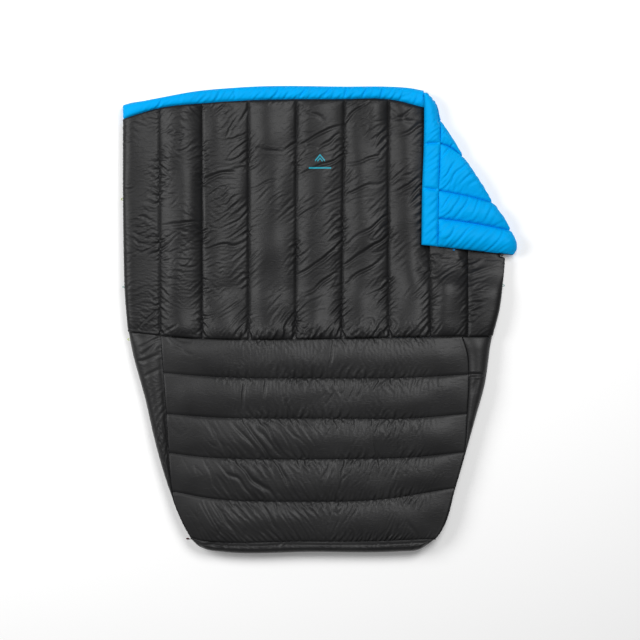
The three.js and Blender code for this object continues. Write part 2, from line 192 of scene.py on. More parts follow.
# %% Settling a grid of cloth
def neighbours(cloth, pull, first, second, rest, strength, only_spread=False):
    """Adds to pull what draws each pair of points towards its rest distance."""
    gap = cloth[:, second[0], second[1]] - cloth[:, first[0], first[1]]
    length = np.sqrt((gap * gap).sum(0)) + 1e-6
    share = (length - rest) / length
    if only_spread:
        np.minimum(share, 0, out=share)
    gap *= share * (strength * 0.5)
    pull[:, first[0], first[1]] += gap
    pull[:, second[0], second[1]] -= gap


PRESSURE = 0.02  # how hard the down pushes the cloth out, in millimetres a round
ALL, HEAD, TAIL = slice(None), slice(0, -1), slice(1, None)
HEAD2, TAIL2 = slice(0, -2), slice(2, None)


def relax(cloth, form, normal, fixed, ease_along, ease_across, slant, bend, hold, rounds, floor):
    free = (~fixed).astype(np.float32)
    across = np.linalg.norm(form[:, :, 1:] - form[:, :, :-1], axis=0) * (1 + ease_across[:, :-1])
    along = np.linalg.norm(form[:, 1:] - form[:, :-1], axis=0) * (1 + ease_along[:-1])
    a, b = (across[1:] + across[:-1]) / 2, (along[:, 1:] + along[:, :-1]) / 2
    lean = 2 * a * b * np.sin(slant[:-1, :-1]) + ((form[:, 1:, 1:] - form[:, :-1, :-1]) ** 2).sum(0) / 2
    lean -= ((form[:, :-1, 1:] - form[:, 1:, :-1]) ** 2).sum(0) / 2
    rising, falling = np.sqrt(a * a + b * b + lean), np.sqrt(a * a + b * b - lean)
    wide = np.linalg.norm(form[:, :, 2:] - form[:, :, :-2], axis=0) * (1 + ease_across[:, 1:-1])
    long = np.linalg.norm(form[:, 2:] - form[:, :-2], axis=0) * (1 + ease_along[1:-1])
    across, along, rising, falling, wide, long = (
        v.astype(np.float32) for v in (across, along, rising, falling, wide, long))
    speed = np.zeros_like(cloth)
    for _ in range(rounds):
        speed *= 0.9
        cloth += speed * free
        pull = np.zeros_like(cloth)
        neighbours(cloth, pull, (ALL, HEAD), (ALL, TAIL), across, 0.22)
        neighbours(cloth, pull, (HEAD, ALL), (TAIL, ALL), along, 0.22)
        neighbours(cloth, pull, (HEAD, HEAD), (TAIL, TAIL), rising, 0.16)
        neighbours(cloth, pull, (HEAD, TAIL), (TAIL, HEAD), falling, 0.16)
        neighbours(cloth, pull, (ALL, HEAD2), (ALL, TAIL2), wide, bend, True)
        neighbours(cloth, pull, (HEAD2, ALL), (TAIL2, ALL), long, bend, True)
        pull += normal * (hold * ((form - cloth) * normal).sum(0) + PRESSURE)
        pull *= free
        cloth += pull
        speed += pull
        np.maximum(cloth[2], floor, out=cloth[2])
    return cloth


def normals(form):
    across, along = np.gradient(form, axis=2), np.gradient(form, axis=1)
    n = np.cross(across, along, axis=0)
    return (n / (np.linalg.norm(n, axis=0) + 1e-9)).astype(np.float32)


def settle(form, fixed, folds, puckers, slant, seed, limit=9.0, floor=0.4,
           bend=(0.30, 0.16), hold=(0.008, 0.012), rounds=(110, 40)):
    """The form with wrinkles. folds is the spare cloth of the coarse grid and puckers what the fine grid
    adds, each as a share (across the grid, along it). slant leans the threads, and so the wrinkles."""
    form = form.astype(np.float32)
    rng = np.random.default_rng(seed)
    ones = np.ones(form.shape[1:], np.float32)
    folds, puckers = ([ones * v for v in pair] for pair in (folds, puckers))
    slant = ones * slant
    normal = normals(form)
    shift = None
    for stride, softness, grip, count in zip((2, 1), bend, hold, rounds):
        cut = (slice(None, None, stride),) * 2
        part, n = form[(slice(None), *cut)], normal[(slice(None), *cut)]
        rough = 1.0 if shift is None else 0.25
        start = part + n * rng.normal(0, rough, part.shape[1:]) * ~fixed[cut]
        extra = [f[cut] for f in folds]
        if shift is not None:
            fine = np.zeros_like(form)
            fine[:, ::2, ::2] = shift
            fine[:, 1::2, ::2] = (shift[:, 1:] + shift[:, :-1]) / 2
            fine[:, :, 1::2] = (fine[:, :, 2::2] + fine[:, :, :-2:2]) / 2
            start = start + fine
            extra = [f + p for f, p in zip(folds, puckers)]
        cloth = relax(start.astype(np.float32), part, n, fixed[cut], extra[1], extra[0], slant[cut],
                      softness, grip, count, floor)
        shift = cloth - part
        size = np.sqrt((shift * shift).sum(0)) + 1e-6
        shift *= np.minimum(1, limit / size)
    return form + shift


# %% [markdown]
# ## From a grid to a closed piece
#
# A filled piece is a tube of cloth: an outer wall, an inner wall, and an end at each end. A grid of faces is
# made with one operator, its columns go round the tube, its rows run along it, and the doubled column and the
# open ends are closed. Each point also keeps where it lies on the cloth and how far it is from the nearest
# seam, which the finishes read for their weave, their stitches and the painted shade along each seam.

# %% Closed pieces
def crease_at_seams(mesh):
    """Makes the edges along a seam sharp, so the cloth turns there at once, and the rims of a piece too."""
    mesh.set_sharp_from_angle(angle=math.radians(75))
    marks = np.zeros(len(mesh.vertices) * 3, np.float32)
    mesh.attributes["cloth"].data.foreach_get("vector", marks)
    ends = np.zeros(len(mesh.edges) * 2, np.int32)
    mesh.edges.foreach_get("vertices", ends)
    on_seam = (marks[2::3] < 1e-6)[ends.reshape(-1, 2)].all(1)
    sharp = np.zeros(len(mesh.edges), bool)
    attribute = mesh.attributes.get("sharp_edge") or mesh.attributes.new("sharp_edge", "BOOLEAN", "EDGE")
    attribute.data.foreach_get("value", sharp)
    attribute.data.foreach_set("value", sharp | on_seam)


def tube(name, outer, inner, finish, seam_gap=None, inner_finish=None):
    """A closed piece from an outer and an inner grid with the same rows, in millimetres."""
    ring = np.concatenate([outer, inner[:, :, ::-1], outer[:, :, :1]], axis=2)
    rows, columns = ring.shape[1:]
    gap = np.full((rows, columns), 50.0)
    if seam_gap is not None:
        gap[:, :seam_gap.shape[1]] = seam_gap
        gap[:, -1] = seam_gap[:, 0]
    u = np.cumsum(np.linalg.norm(np.diff(ring, axis=2, prepend=ring[:, :, :1]), axis=0), axis=1)
    v = np.cumsum(np.linalg.norm(np.diff(ring, axis=1, prepend=ring[:, :1]), axis=0), axis=0)
    ring = (ring + TO_FRAME[:, None, None]) / 1000
    bm = bmesh.new()
    layer = bm.verts.layers.float_vector.new("cloth")
    bmesh.ops.create_grid(bm, x_segments=columns - 1, y_segments=rows - 1, size=1)
    points = ring.reshape(3, -1).T.tolist()
    marks = (np.stack([u, v, gap]).reshape(3, -1).T / 1000).tolist()
    for vert, point, mark in zip(bm.verts, points, marks):
        vert.co = point
        vert[layer] = mark
    outer_columns = outer.shape[2]
    for i, face in enumerate(bm.faces):
        face.smooth = True
        face.material_index = int(i % (columns - 1) >= outer_columns)
    bmesh.ops.remove_doubles(bm, verts=bm.verts, dist=2e-5)
    open_edges = [e for e in bm.edges if e.is_boundary]
    filled = bmesh.ops.holes_fill(bm, edges=open_edges)["faces"]
    bmesh.ops.triangulate(bm, faces=filled, ngon_method="EAR_CLIP")
    bmesh.ops.recalc_face_normals(bm, faces=bm.faces)
    mesh = bpy.data.meshes.new(name)
    bm.to_mesh(mesh)
    bm.free()
    crease_at_seams(mesh)
    piece = bpy.data.objects.new(name, mesh)
    bpy.context.scene.collection.objects.link(piece)
    mesh.materials.append(finish)
    mesh.materials.append(inner_finish or finish)
    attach(piece, "root")
    low, high = ring.min((1, 2)), ring.max((1, 2))
    print(name, len(mesh.polygons), "faces, from", low.round(3), "to", high.round(3))
    return piece


def seam_distance(form, seam_columns=(), seam_rows=()):
    """How far each point is from the nearest seam, along the grid."""
    u = np.cumsum(np.linalg.norm(np.diff(form, axis=2, prepend=form[:, :, :1]), axis=0), axis=1)
    v = np.cumsum(np.linalg.norm(np.diff(form, axis=1, prepend=form[:, :1]), axis=0), axis=0)
    gap = np.full(form.shape[1:], 200.0)
    for c in seam_columns:
        gap = np.minimum(gap, np.abs(u - u[:, c:c + 1]))
    for r in seam_rows:
        gap = np.minimum(gap, np.abs(v - v[r:r + 1]))
    return gap


# %% [markdown]
# ## Finishes
#
# The shell is a thin, slightly shiny nylon, black with a grey bloom where it catches the light. The lining
# and the collar are the same cloth in a bright blue. A woven cloth is a fine bump in two directions. Its
# smallest creases are a second bump, and the stitches show as a dashed line in the bottom of each seam. A
# narrow band of the thread's colour along each seam is partly the stitches and partly painted shade in its
# groove.
# Sums on sockets are written as Python expressions with one small class.

# %% Shader sums
class Socket:
    """A socket of a shader node that can be used in sums."""

    def __init__(self, tree, out):
        self.tree, self.out = tree, out

    def node(self, kind, inputs=(), output=0, **settings):
        node = self.tree.nodes.new(kind)
        for key, value in settings.items():
            setattr(node, key, value)
        for key, value in dict(inputs).items():
            if isinstance(value, Socket):
                self.tree.links.new(value.out, node.inputs[key])
            elif value is not None:
                node.inputs[key].default_value = value
        return Socket(self.tree, node.outputs[output])

    def into(self, target):
        self.tree.links.new(self.out, target)

    def xyz(self):
        """The three parts of a vector."""
        parts = self.node("ShaderNodeSeparateXYZ", {0: self})
        return [Socket(self.tree, out) for out in parts.out.node.outputs]

    def between(self, low, high):
        """A colour between low and high. This socket is the share of high."""
        return self.node("ShaderNodeMix", {"Factor": self, 6: low, 7: high}, output=2, data_type="RGBA")

    def math(self, operation, *values):
        return self.node("ShaderNodeMath", enumerate(values), operation=operation)

    def __add__(self, other): return self.math("ADD", self, other)
    def __radd__(self, other): return self.math("ADD", other, self)
    def __sub__(self, other): return self.math("SUBTRACT", self, other)
    def __rsub__(self, other): return self.math("SUBTRACT", other, self)
    def __mul__(self, other): return self.math("MULTIPLY", self, other)
    def __rmul__(self, other): return self.math("MULTIPLY", other, self)
    def __truediv__(self, other): return self.math("DIVIDE", self, other)
    def sine(self): return self.math("SINE", self)
    def size(self): return self.math("ABSOLUTE", self)
    def below(self, limit): return self.math("LESS_THAN", self, limit)
    def most(self, other): return self.math("MAXIMUM", self, other)

    def ramp(self, start, end, low=0.0, high=1.0):
        return self.node("ShaderNodeMapRange", {"Value": self, "From Min": start, "From Max": end,
                                                "To Min": low, "To Max": high})


def plain_material(name):
    """A new material, with its shader and where a point is on the object."""
    material = bpy.data.materials.new(name)
    material.use_nodes = True
    tree = material.node_tree
    place = Socket(tree, None).node("ShaderNodeTexCoord", output="Object")
    return material, tree.nodes["Principled BSDF"], place


WEAVE, RIP, STITCH = 0.0011, 0.006, 0.0042  # metres from one thread, ripstop line or stitch to the next
PRINT_COLOUR = (0.012, 0.27, 0.36, 1)


def cloth_finish(name, colour, darker_tone, roughness, thread_and_seam_shade, gloss, printed=None):
    """Woven nylon: colour, a darker tone in random patches and the upper half, and stitch colour, also
    painted as seam shading.
    """
    material, shader, place = plain_material(name)
    u, v, gap = place.node("ShaderNodeAttribute", output="Vector", attribute_name="cloth").xyz()
    full = 2 * math.pi

    weave = (u * (full / WEAVE)).sine() * (v * (full / WEAVE)).sine()
    rip = ((u * (full / RIP)).sine().size() * (v * (full / RIP)).sine().size()).below(0.10)
    upper_creases, footbox_creases = (place.node("ShaderNodeTexNoise", {
        "Vector": place.node("ShaderNodeMapping", {
            "Vector": place, "Rotation": (0, 0, turn), "Scale": (1.0, 2.6, 1.0)}),
        "Scale": 30.0, "Detail": 3.0, "Roughness": 0.5, "Distortion": 0.6}) for turn in (0.35, 1.65))
    upper_half = place.xyz()[1].ramp(-0.085, -0.075)
    creases = upper_creases * upper_half + footbox_creases * (1 - upper_half)
    creases = (creases - 0.5).size() * 1.3 + creases * 0.5
    patches = place.node("ShaderNodeTexNoise", {"Vector": place, "Scale": 7.0, "Detail": 2.0})
    stitch = gap.below(0.0011) * ((u + v) * (full / STITCH)).sine().ramp(-0.2, 0.2)

    height = creases * 0.0016 + weave * 0.00002 + rip * 0.00003 + stitch * 0.0004
    bump = place.node("ShaderNodeBump", {"Height": height, "Strength": 0.55, "Distance": 1.0})
    # A darker tone in random patches, and over the upper half of the quilt.
    base = (patches.ramp(0.3, 0.7) * 0.5 + (1 - upper_half) * 0.5).between((*darker_tone, 1), (*colour, 1))
    # Stitches and painted shade: within 3.5 mm of a seam the colour goes towards the thread colour, which
    # stands for the stitches and for shade in the seam's groove.
    base = (gap.ramp(0.0035, 0.0008) * 0.9).between(base, (*thread_and_seam_shade, 1))
    if printed:
        base = printed(place).between(base, PRINT_COLOUR)
    base.into(shader.inputs["Base Color"])
    (creases * 0.12 + (roughness - 0.06)).into(shader.inputs["Roughness"])
    bump.into(shader.inputs["Normal"])
    shader.inputs["Specular IOR Level"].default_value = gloss
    return material


# A small plain print: a pointed peak over a short bar.
def peak_and_bar(place):
    x, y, z = place.xyz()
    x, y = x - TO_FRAME[0] / 1000, y - TO_FRAME[1] / 1000
    roof = (y - 0.706 + x.size() * 1.2).size().below(0.0042) * x.size().below(0.021)
    inner = (y - 0.692 + x.size() * 1.2).size().below(0.0036) * x.size().below(0.011)
    bar = (y - 0.650).size().below(0.0034) * x.size().below(0.048)
    return roof.most(inner).most(bar) * (0.02 - z).below(0)


# The fourth colour of each is for its stitches, and is also painted along each seam as shade.
shell = cloth_finish("shell_nylon", (0.020, 0.020, 0.0205), (0.0065, 0.0065, 0.007), 0.46,
                     (0.006, 0.006, 0.007), 0.27, peak_and_bar)
blue = cloth_finish("lining_nylon", (0.0, 0.385, 0.84), (0.0, 0.34, 0.78), 0.55, (0.0, 0.25, 0.63), 0.04)
print("finishes", shell.name, blue.name)

# %% [markdown]
# ## The upper layer
#
# The upper half of the quilt and its collar are one cloth here, with a seam between them. Both side margins
# are folded in under it, so a cut across the quilt is one section that runs back and forth: out along the
# margin, round the fold, over the channels and down the other side. The top layer slopes down to the floor
# beside the margins and climbs to the footbox. Under the turned corner it is pressed flat.

# %% The form of the upper layer
FOLD_RADIUS = 46.0  # of the fold round the turned corner
BAND_CROWN = 40.0  # thickness in the middle of the collar
FOLD_STEPS = 28
CHANNEL_WIDTHS = (112, 183, 198, 203, 196, 203, 178, 162, 60)
LAST = len(CHANNEL_WIDTHS) - 1  # the number of the last channel
FLAT = 9.0  # stands for the turn of a column that isn't in the round of a fold
CORNER_START, CORNER_FULL = 262.0, 272.0  # heights between which the folded-back corner begins


def corner_radius(y):
    return np.minimum(FOLD_RADIUS, 0.6 * (fold_side(y) - corner_edge(y)))


def ground(x, y):
    """The height of what the top layer lies on: a folded margin, the back of the footbox, or the floor."""
    left = smooth(left_side(y) + MARGIN + MARGIN_SLOPE, left_side(y) + MARGIN, x)
    tucked = smooth(corner_hem(x), corner_hem(x) - 210, y)
    right = smooth(right_side(y) - MARGIN - MARGIN_SLOPE, right_side(y) - MARGIN, x) * tucked
    foot = smooth(waist_seam(x) + FOOT_SLOPE, waist_seam(x), y)
    return LAYER * (1 - (1 - left) * (1 - right) * (1 - foot))


def upper_seams(y, share):
    """The lines across the quilt between which its channels lie, at heights y."""
    turned = smooth(CORNER_START, CORNER_FULL, y)
    right = blend(right_side(y), fold_side(y) - corner_radius(y) - 6, turned)
    seams = [blend(low, high, share) for low, high in channel_seams]
    pressed = [np.minimum(seam, right - 6 * (len(seams) - i)) for i, seam in enumerate(seams)]
    seams = [np.where(turned > 0, low, seam) for low, seam in zip(pressed, seams)]
    return [left_side(y), *seams, right]


theta = np.radians(np.linspace(-90, 90, FOLD_STEPS + 1))
inner_counts = [even(width) for width in CHANNEL_WIDTHS]
columns = [(0, 0.0, t) for t in theta[:-1]]
seam_columns = []
for bay, count in enumerate(inner_counts):
    if bay:
        seam_columns.append(len(columns))
    columns += [(bay, step / count, FLAT) for step in range(count)]
columns += [(LAST, 1.0, t) for t in theta[::-1]]
bay_of, share_of, turn_of = (np.array(v) for v in zip(*columns))
main_rows, collar_rows = even(1020), even(58)
row_share = np.concatenate([np.linspace(0, 1, main_rows + 1), np.ones(collar_rows)])[:, None]
collar_share = np.concatenate([np.zeros(main_rows), np.linspace(0, 1, collar_rows + 1)])[:, None]


def upper_place(bay, share, turn, row, collar):
    """Where the columns run: x and y, the distance from the nearer side, and the share across the channel."""
    y = blend(waist_seam(0) + 0.3, collar_seam(0), row) + 0 * share
    y = y + (head_edge(0) - collar_seam(0)) * collar
    for _ in range(5):
        seams = upper_seams(y, row)
        x = np.zeros_like(y)
        first, last = seams[1] - seams[0], seams[-1] - seams[-2]
        shrink = np.minimum(1, 0.5 * last / LAYER)
        for i in range(LAST + 1):
            on = bay == i
            low, high = seams[i], seams[i + 1]
            if i == 0:
                low = low + LAYER
            if i == LAST:
                high = high - LAYER * shrink
            x[:, on] = blend(low, high, share[None, :])[:, on]
        round_left, round_right = (bay == 0) & (turn < FLAT), (bay == LAST) & (turn < FLAT)
        away = LAYER * ((1 - np.cos(turn)) ** 1.6)[None, :]
        x[:, round_left] = (seams[0] + away)[:, round_left]
        x[:, round_right] = (seams[-1] - away * shrink)[:, round_right]
        y = blend(blend(waist_seam(x) + 0.3, collar_seam(x), row), head_edge(x), collar)
    step = np.where(bay == 0, (x - seams[0]) / first, np.where(bay == LAST, (seams[-1] - x) / last, 0))
    across = np.where((bay == 0) | (bay == LAST), blend(0.5, 1, step), share[None, :] + 0 * x)
    return x, y - 0.9 * (1 - row) ** 8, across


x, y, across = upper_place(bay_of, share_of, turn_of, row_share, collar_share)
under = ground(x, y)
lengthwise = (0.35 + 0.65 * quarter(row_share / 0.06)) * (0.35 + 0.65 * quarter((1 - row_share) / 0.035))
lengthwise = lengthwise * np.where((bay_of == 0) | (bay_of == LAST), 0.6, 1.0)
down = 2.5 * (np.sin(x / 61 + y / 97) + np.sin(y / 43 - x / 157)) / 2 + 1.6 * noise(x, y, 150, 1)
filled = PLUMP + (CROWN - PLUMP + down) * puff(across) * np.where(row_share < 1, lengthwise, 1)
band = blend(blend(PLUMP + 3, HEM, collar_share), BAND_CROWN - 4 + 0.5 * down, bulge(collar_share))
filled = np.where(collar_share > 0, band, filled)
seam_row = np.arange(main_rows + collar_rows + 1)[:, None] == main_rows
filled = np.where(seam_row, DRAWN_IN, filled)
filled[:main_rows + 1, seam_columns] = DRAWN_IN
crinkles = crinkle(x, y, 28, 110, 30, 41) * 0.8
filled -= crinkles * np.where((filled > PLUMP + 4) & (collar_share == 0), 1, 0)
top = under + filled
covered = smooth(corner_edge(y), corner_edge(y) + 30, x) * smooth(corner_hem(x) - 60, corner_hem(x) - 20, y)
pressed = np.maximum(covered, smooth(corner_edge(y) - 30, corner_edge(y) + 30, x)
                     * smooth(corner_hem(x) - 170, corner_hem(x) - 15, y))
top = blend(top, np.minimum(top, LAYER - SLIT), pressed)
turned_side = (bay_of == LAST) & (y > (CORNER_START + CORNER_FULL) / 2)
middle = np.where(turned_side, (LAYER - SLIT) / 2, LAYER)
rise = np.sin(turn_of)[None, :]
rounded = np.where(rise < 0, middle * (1 + rise), middle + (top - middle) * rise)
z = np.where(turn_of < FLAT, rounded, top)
upper = np.stack([x, y, z])
print("upper layer", upper.shape, "widest", x.min().round(1), x.max().round(1))

# %% [markdown]
# Its wrinkles follow the real cloth: short puckers at right angles to the seams, and creases that rise to the
# right between them. A few of the largest creases are drawn first, each as a soft trough between two
# points. The rest comes from settling the cloth, with more spare length where a quilt wrinkles more.

# %% Its wrinkles
def press(form, troughs, top_only=None):
    """Presses soft troughs between pairs of points: x and y of both ends, then the width and the depth."""
    x = form[0] + 4 * noise(form[0], form[1], 110, 31)
    y = form[1] + 4 * noise(form[0], form[1], 110, 32)
    for x0, y0, x1, y1, width, depth in troughs:
        dx, dy = x1 - x0, y1 - y0
        t = np.clip(((x - x0) * dx + (y - y0) * dy) / (dx * dx + dy * dy), 0, 1)
        away = np.hypot(x - x0 - t * dx, y - y0 - t * dy)
        ends = 0.25 + 0.75 * np.sin(math.pi * np.clip(t, 0.02, 0.98))
        form[2] -= 0.6 * depth * np.exp(-((away / width) ** 2)) * ends * (1 if top_only is None else top_only)


def collar_place(seam, share=0.0):
    """How far across the collar a pleat sits: at a channel's seam, or a share of the way to the next one."""
    return float(blend(channel_seams[seam][1], channel_seams[seam + 1][1], share))


# The deepest pleats of the collar, each with its depth.
collar_pleats = [(collar_place(0), 7), (collar_place(0, 1 / 2), 4), (collar_place(1, 2 / 3), 7),
                 (collar_place(4), 8), (collar_place(4, 4 / 5), 7)]
open_top = (1 - covered) * np.where(turn_of < FLAT, np.maximum(rise, 0), 1)
press(upper, [
    # the long slanting folds in the middle channels, low down
    (100, 230, 290, 350, 9, 7), (110, 150, 270, 262, 9, 6), (120, 320, 285, 440, 8, 5),
    (-90, 190, 70, 300, 9, 6), (-85, 90, 60, 200, 8, 5), (-70, 620, 85, 700, 7, 5), (-60, 760, 90, 840, 8, 6),
    # short pleats across the collar, the deepest ones set out from the channels' seams
    *[(place, float(collar_seam(place)), place + 15, float(head_edge(place)), 6, depth)
      for place, depth in collar_pleats],
    (-450, 925, -425, 985, 6, 3), (-90, 945, -50, 1005, 6, 6), (10, 945, 50, 1005, 6, 5),
    (180, 945, 215, 1000, 6, 5), (330, 940, 400, 985, 6, 6), (-200, 945, -175, 1000, 6, 4),
    # folds that hang from the collar
    (-310, 905, -340, 850, 7, 5), (300, 900, 420, 830, 10, 8), (310, 850, 400, 900, 8, 6),
    (330, 780, 460, 850, 9, 6), (-60, 905, 10, 850, 8, 6), (150, 900, 95, 830, 8, 6),
    (480, 880, 560, 800, 9, 5),
    # single creases
    (-290, 735, -170, 720, 7, 5), (-150, 735, -110, 760, 6, 5), (-300, 560, -180, 600, 7, 3),
    (-100, 760, 0, 735, 7, 5), (0, 735, 80, 800, 7, 5), (110, 660, 250, 700, 8, 5),
    (120, 540, 270, 590, 8, 4), (-480, 300, -330, 330, 9, 4), (-500, 610, -340, 640, 9, 4),
    (-680, 400, -520, 420, 9, 4),
], open_top)

gap = seam_distance(upper, seam_columns)
near = np.exp(-gap / 24)
patch = np.clip(0.6 + 0.5 * noise(x, y, 120, 2), 0, 1.6)
calm = np.where(collar_share > 0, 1.0, 1 - 0.6 * smooth(-330, -260, x) * smooth(-80, -150, x))
collar = collar_share > 0
gathered = 0.4 + 0.6 * smooth(-430, -330, x) * smooth(470, 380, x)
ends = 1.8 * np.exp(-np.abs(y - waist_seam(x)) / 50) * gathered
ends += 0.5 * np.exp(-np.abs(y - collar_seam(x)) / 30)
pleated = 0.025 + 0.045 * smooth(-330, -150, x)
folds = (np.where(collar, pleated, 0.004 + 0.035 * ends),
         np.where(collar, 0.0, (0.004 + 0.034 * patch ** 1.5) * calm))
short = smooth(-300, -420, x)
puckers = (np.where(collar, 0.5 * pleated, 0.002 + 0.06 * ends),
           np.where(collar, 0.0, (0.002 + (0.060 + 0.03 * short) * near * patch) * calm + 0.012 * short))
lean = blend(0.02, -0.07, smooth(-520, -330, x)) + 0.05 * noise(x, y, 160, 3)
slant = np.where(collar, -0.20, lean * (1 - 0.8 * np.clip(ends, 0, 1)))
fixed = np.zeros(x.shape, bool)
fixed[:main_rows + 1, seam_columns] = True
fixed[[0, main_rows, -1]] = True
fixed[:, [0, -1]] = True
fixed |= covered > 0.6
fixed |= turned_side
upper = settle(upper, fixed, folds, puckers, slant, 11)
print("wrinkles of the upper layer settled, up to", upper[2].max().round(1), "high")

# %% [markdown]
# The inside of the section is plainer: the lining, drawn up at each channel's seam, and the top of each
# folded margin two millimetres below it. The outer and the inner wall are closed into one piece for the quilt
# and one for its collar.

# %% Closing the upper layer
under_columns = [(bay, s, FLAT) for bay in range(LAST + 1) for s in (0.0, 0.06, 0.25, 0.5, 0.75, 0.94)]
under_columns = under_columns[1:] + [(LAST, 0.97, FLAT)]
ub, us, ut = (np.array(v) for v in zip(*under_columns))
ix, iy, _ = upper_place(ub, us, ut, row_share, collar_share)
iz = ground(ix, iy) + 0.2 + 5 * (us == 0) * (ub > 0) * (collar_share == 0)
left, right = upper_seams(iy, row_share)[0][:, :1], upper_seams(iy, row_share)[-1][:, -1:]
tucked = 1 - smooth(200, CORNER_START, iy[:, -1:])
MARGIN_SHARES = np.array([0.2, 0.35, 0.5, 0.65, 0.8, 0.93, 1.0])[None, :]  # stations from the fold to the hem


def margin_walls(side, sign, present):
    """The folded margin: its floor side and its upper side, both from the fold to the hem."""
    inward = MARGIN_SHARES
    x = side + sign * (MARGIN * inward * present + LAYER * 0.2 * (1 - present) * inward)
    y_row = np.where(sign > 0, iy[:, :1], iy[:, -1:])
    y = y_row + 0 * x
    low = np.stack([x, y, 0.4 + 0 * x])
    height = blend(HEM, LAYER - SLIT - 0.3, quarter((1 - inward) * 3))
    height = np.minimum(height, np.maximum(ground(x, y) - SLIT, 1.0))
    high = np.stack([x, y, blend(1.2, height, present)])
    high[0] = np.where(inward <= 0.2, side + sign * blend(8, 34, present), high[0])
    return low, high


low_left, high_left = margin_walls(left, 1, np.ones_like(left))
low_right, high_right = margin_walls(right, -1, tucked)
outer = np.concatenate([low_left[:, :, ::-1], upper, low_right], axis=2)
inner = np.concatenate([high_left[:, :, ::-1], np.stack([ix, iy, iz]), high_right], axis=2)
gap = seam_distance(upper, seam_columns, [main_rows])
gap[main_rows:] = seam_distance(upper, (), [main_rows])[main_rows:]
no_seam = np.full((gap.shape[0], MARGIN_SHARES.size), 200.0)
gap = np.concatenate([no_seam, gap, no_seam], axis=1)
m = main_rows + 1
upper_quilt = tube("quilt_upper", outer[:, :m], inner[:, :m], shell, gap[:m], blue)
collar_outer, collar_inner = outer[:, m - 1:].copy(), inner[:, m - 1:].copy()
collar_outer[1, 0] += 0.3
collar_inner[1, 0] += 0.3
collar_head = tube("collar_head", collar_outer, collar_inner, blue, gap[m - 1:])

# %% [markdown]
# ## The turned corner
#
# The corner is the same cloth folded back on itself. Its section starts at the free edge of the collar, runs
# flat over the quilt to the fold, goes round it and comes down to the floor. Columns are a constant length of
# cloth apart, so the collar stays one width where it wraps round the fold. Three channel seams cross it. What
# shows is the lining, a sheet 1.5 mm thick on the black filled shell.

# %% The form of the corner
BAND_WIDTH, BAND_COLUMNS, FACE_COLUMNS = 70.0, 14, 84
corner_rows = stations(even(100), even(112), even(190), even(125), even(125))
bay, share = corner_rows[:, :1].astype(int), corner_rows[:, 1:]
low_end, high_end = np.array(corner_seams[:-1])[bay[:, 0]], np.array(corner_seams[1:])[bay[:, 0]]
at_edge, at_fold = (blend(low_end, high_end, share)[:, i:i + 1] for i in (0, 1))
bows = line([0, 0], [1, 5], [2, 5], [3, 26], [4, 0], [5, 0])(bay + share)

fold_x, edge_x = fold_side(at_fold), corner_edge(at_edge)
radius = np.minimum(FOLD_RADIUS, 0.6 * (fold_x - edge_x))
flat = fold_x - radius - edge_x
whole = flat + math.pi * radius
band_width = np.minimum(BAND_WIDTH, 0.85 * whole)
column = np.arange(BAND_COLUMNS + FACE_COLUMNS + 1)[None, :]
face = np.clip(column - BAND_COLUMNS, 0, None) / FACE_COLUMNS
along = np.where(column <= BAND_COLUMNS, band_width * column / BAND_COLUMNS, blend(band_width, whole, face))
turn = np.clip((along - flat) / radius, 0, math.pi)
cx = edge_x + np.minimum(along, flat) + radius * np.sin(turn)
reach = (cx - edge_x) / (fold_x - edge_x)
inside = np.clip(reach, 0, 1)
cy = blend(at_edge, at_fold, reach) + bows * 4 * inside * (1 - inside) * (turn <= 0)
cy += bows * np.clip(4 * reach * (1 - reach), 0, 1) * (turn > 0)
cx -= 8 * (1 - bulge(share)) * smooth(0.6, 1.0, reach) * np.where((bay == 0) & (share < 0.5), 0, 1)

BAND_SEAM = 27.0  # the collar's seam is drawn in less than a channel's
lowest = np.where(bay == 0, blend(HEM, PLUMP, share), PLUMP)
down = 1.5 * noise(cx, cy, 130, 4)
face_fill = blend(lowest, CROWN - 2 + down, puff(share)) - 6 * ((share == 0) & (bay > 0) & (bay < 4))
band_share = np.clip(along / band_width, 0, 1)
corner_foot, corner_tip = corner_seams[0][0], corner_seams[-1][0]
pinch = np.exp(-np.minimum(*(abs(at_edge - seam) for seam, _ in corner_seams[2:4])) / 9)
band_crown = (BAND_CROWN + down) * (1 - 0.35 * pinch)
band_fill = blend(blend(HEM, BAND_SEAM, band_share), band_crown, bulge(band_share))
band_fill = blend(HEM, band_fill, quarter(0.1 + (at_edge - corner_foot) / 90))
top_fill = blend(BAND_SEAM, BAND_CROWN + down, quarter((along - band_width) / 45))
face_fill = blend(np.minimum(BAND_SEAM, face_fill + 4), face_fill, quarter((along - band_width) / 45))
face_fill -= crinkle(cx, cy, 50, 110, 20, 44) * 1.0
into_top = blend(face_fill[bay[:, 0] == 4][:1], top_fill, smooth(0, 0.1, share))
face_fill = np.where(bay == 4, into_top, face_fill)
fill = np.where(column <= BAND_COLUMNS, band_fill, face_fill)
cz = LAYER + np.where(turn < math.pi / 2, fill, LAYER) * np.cos(turn)
cz -= 9 * smooth(0.25, 1.0, reach) * (turn < math.pi / 2) * np.cos(turn)
cz *= blend(0.45, 1, quarter((corner_tip - at_edge) / 70))
corner = np.stack([cx, cy, cz])
press(corner, [
    (620, 590, 690, 690, 7, 9), (650, 570, 740, 650, 7, 8), (690, 560, 770, 620, 6, 6),
    (570, 600, 640, 700, 7, 6), (540, 600, 580, 680, 7, 5), (530, 690, 590, 770, 7, 5),
    (525, 780, 560, 840, 6, 5), (545, 800, 575, 830, 5, 4), (530, 460, 565, 545, 6, 6),
    (565, 440, 610, 545, 7, 7), (600, 440, 640, 535, 6, 6), (650, 450, 680, 520, 6, 4),
    (540, 330, 575, 400, 7, 4), (590, 320, 640, 390, 7, 4), (720, 430, 740, 480, 6, 3),
], np.cos(turn).clip(0, 1))

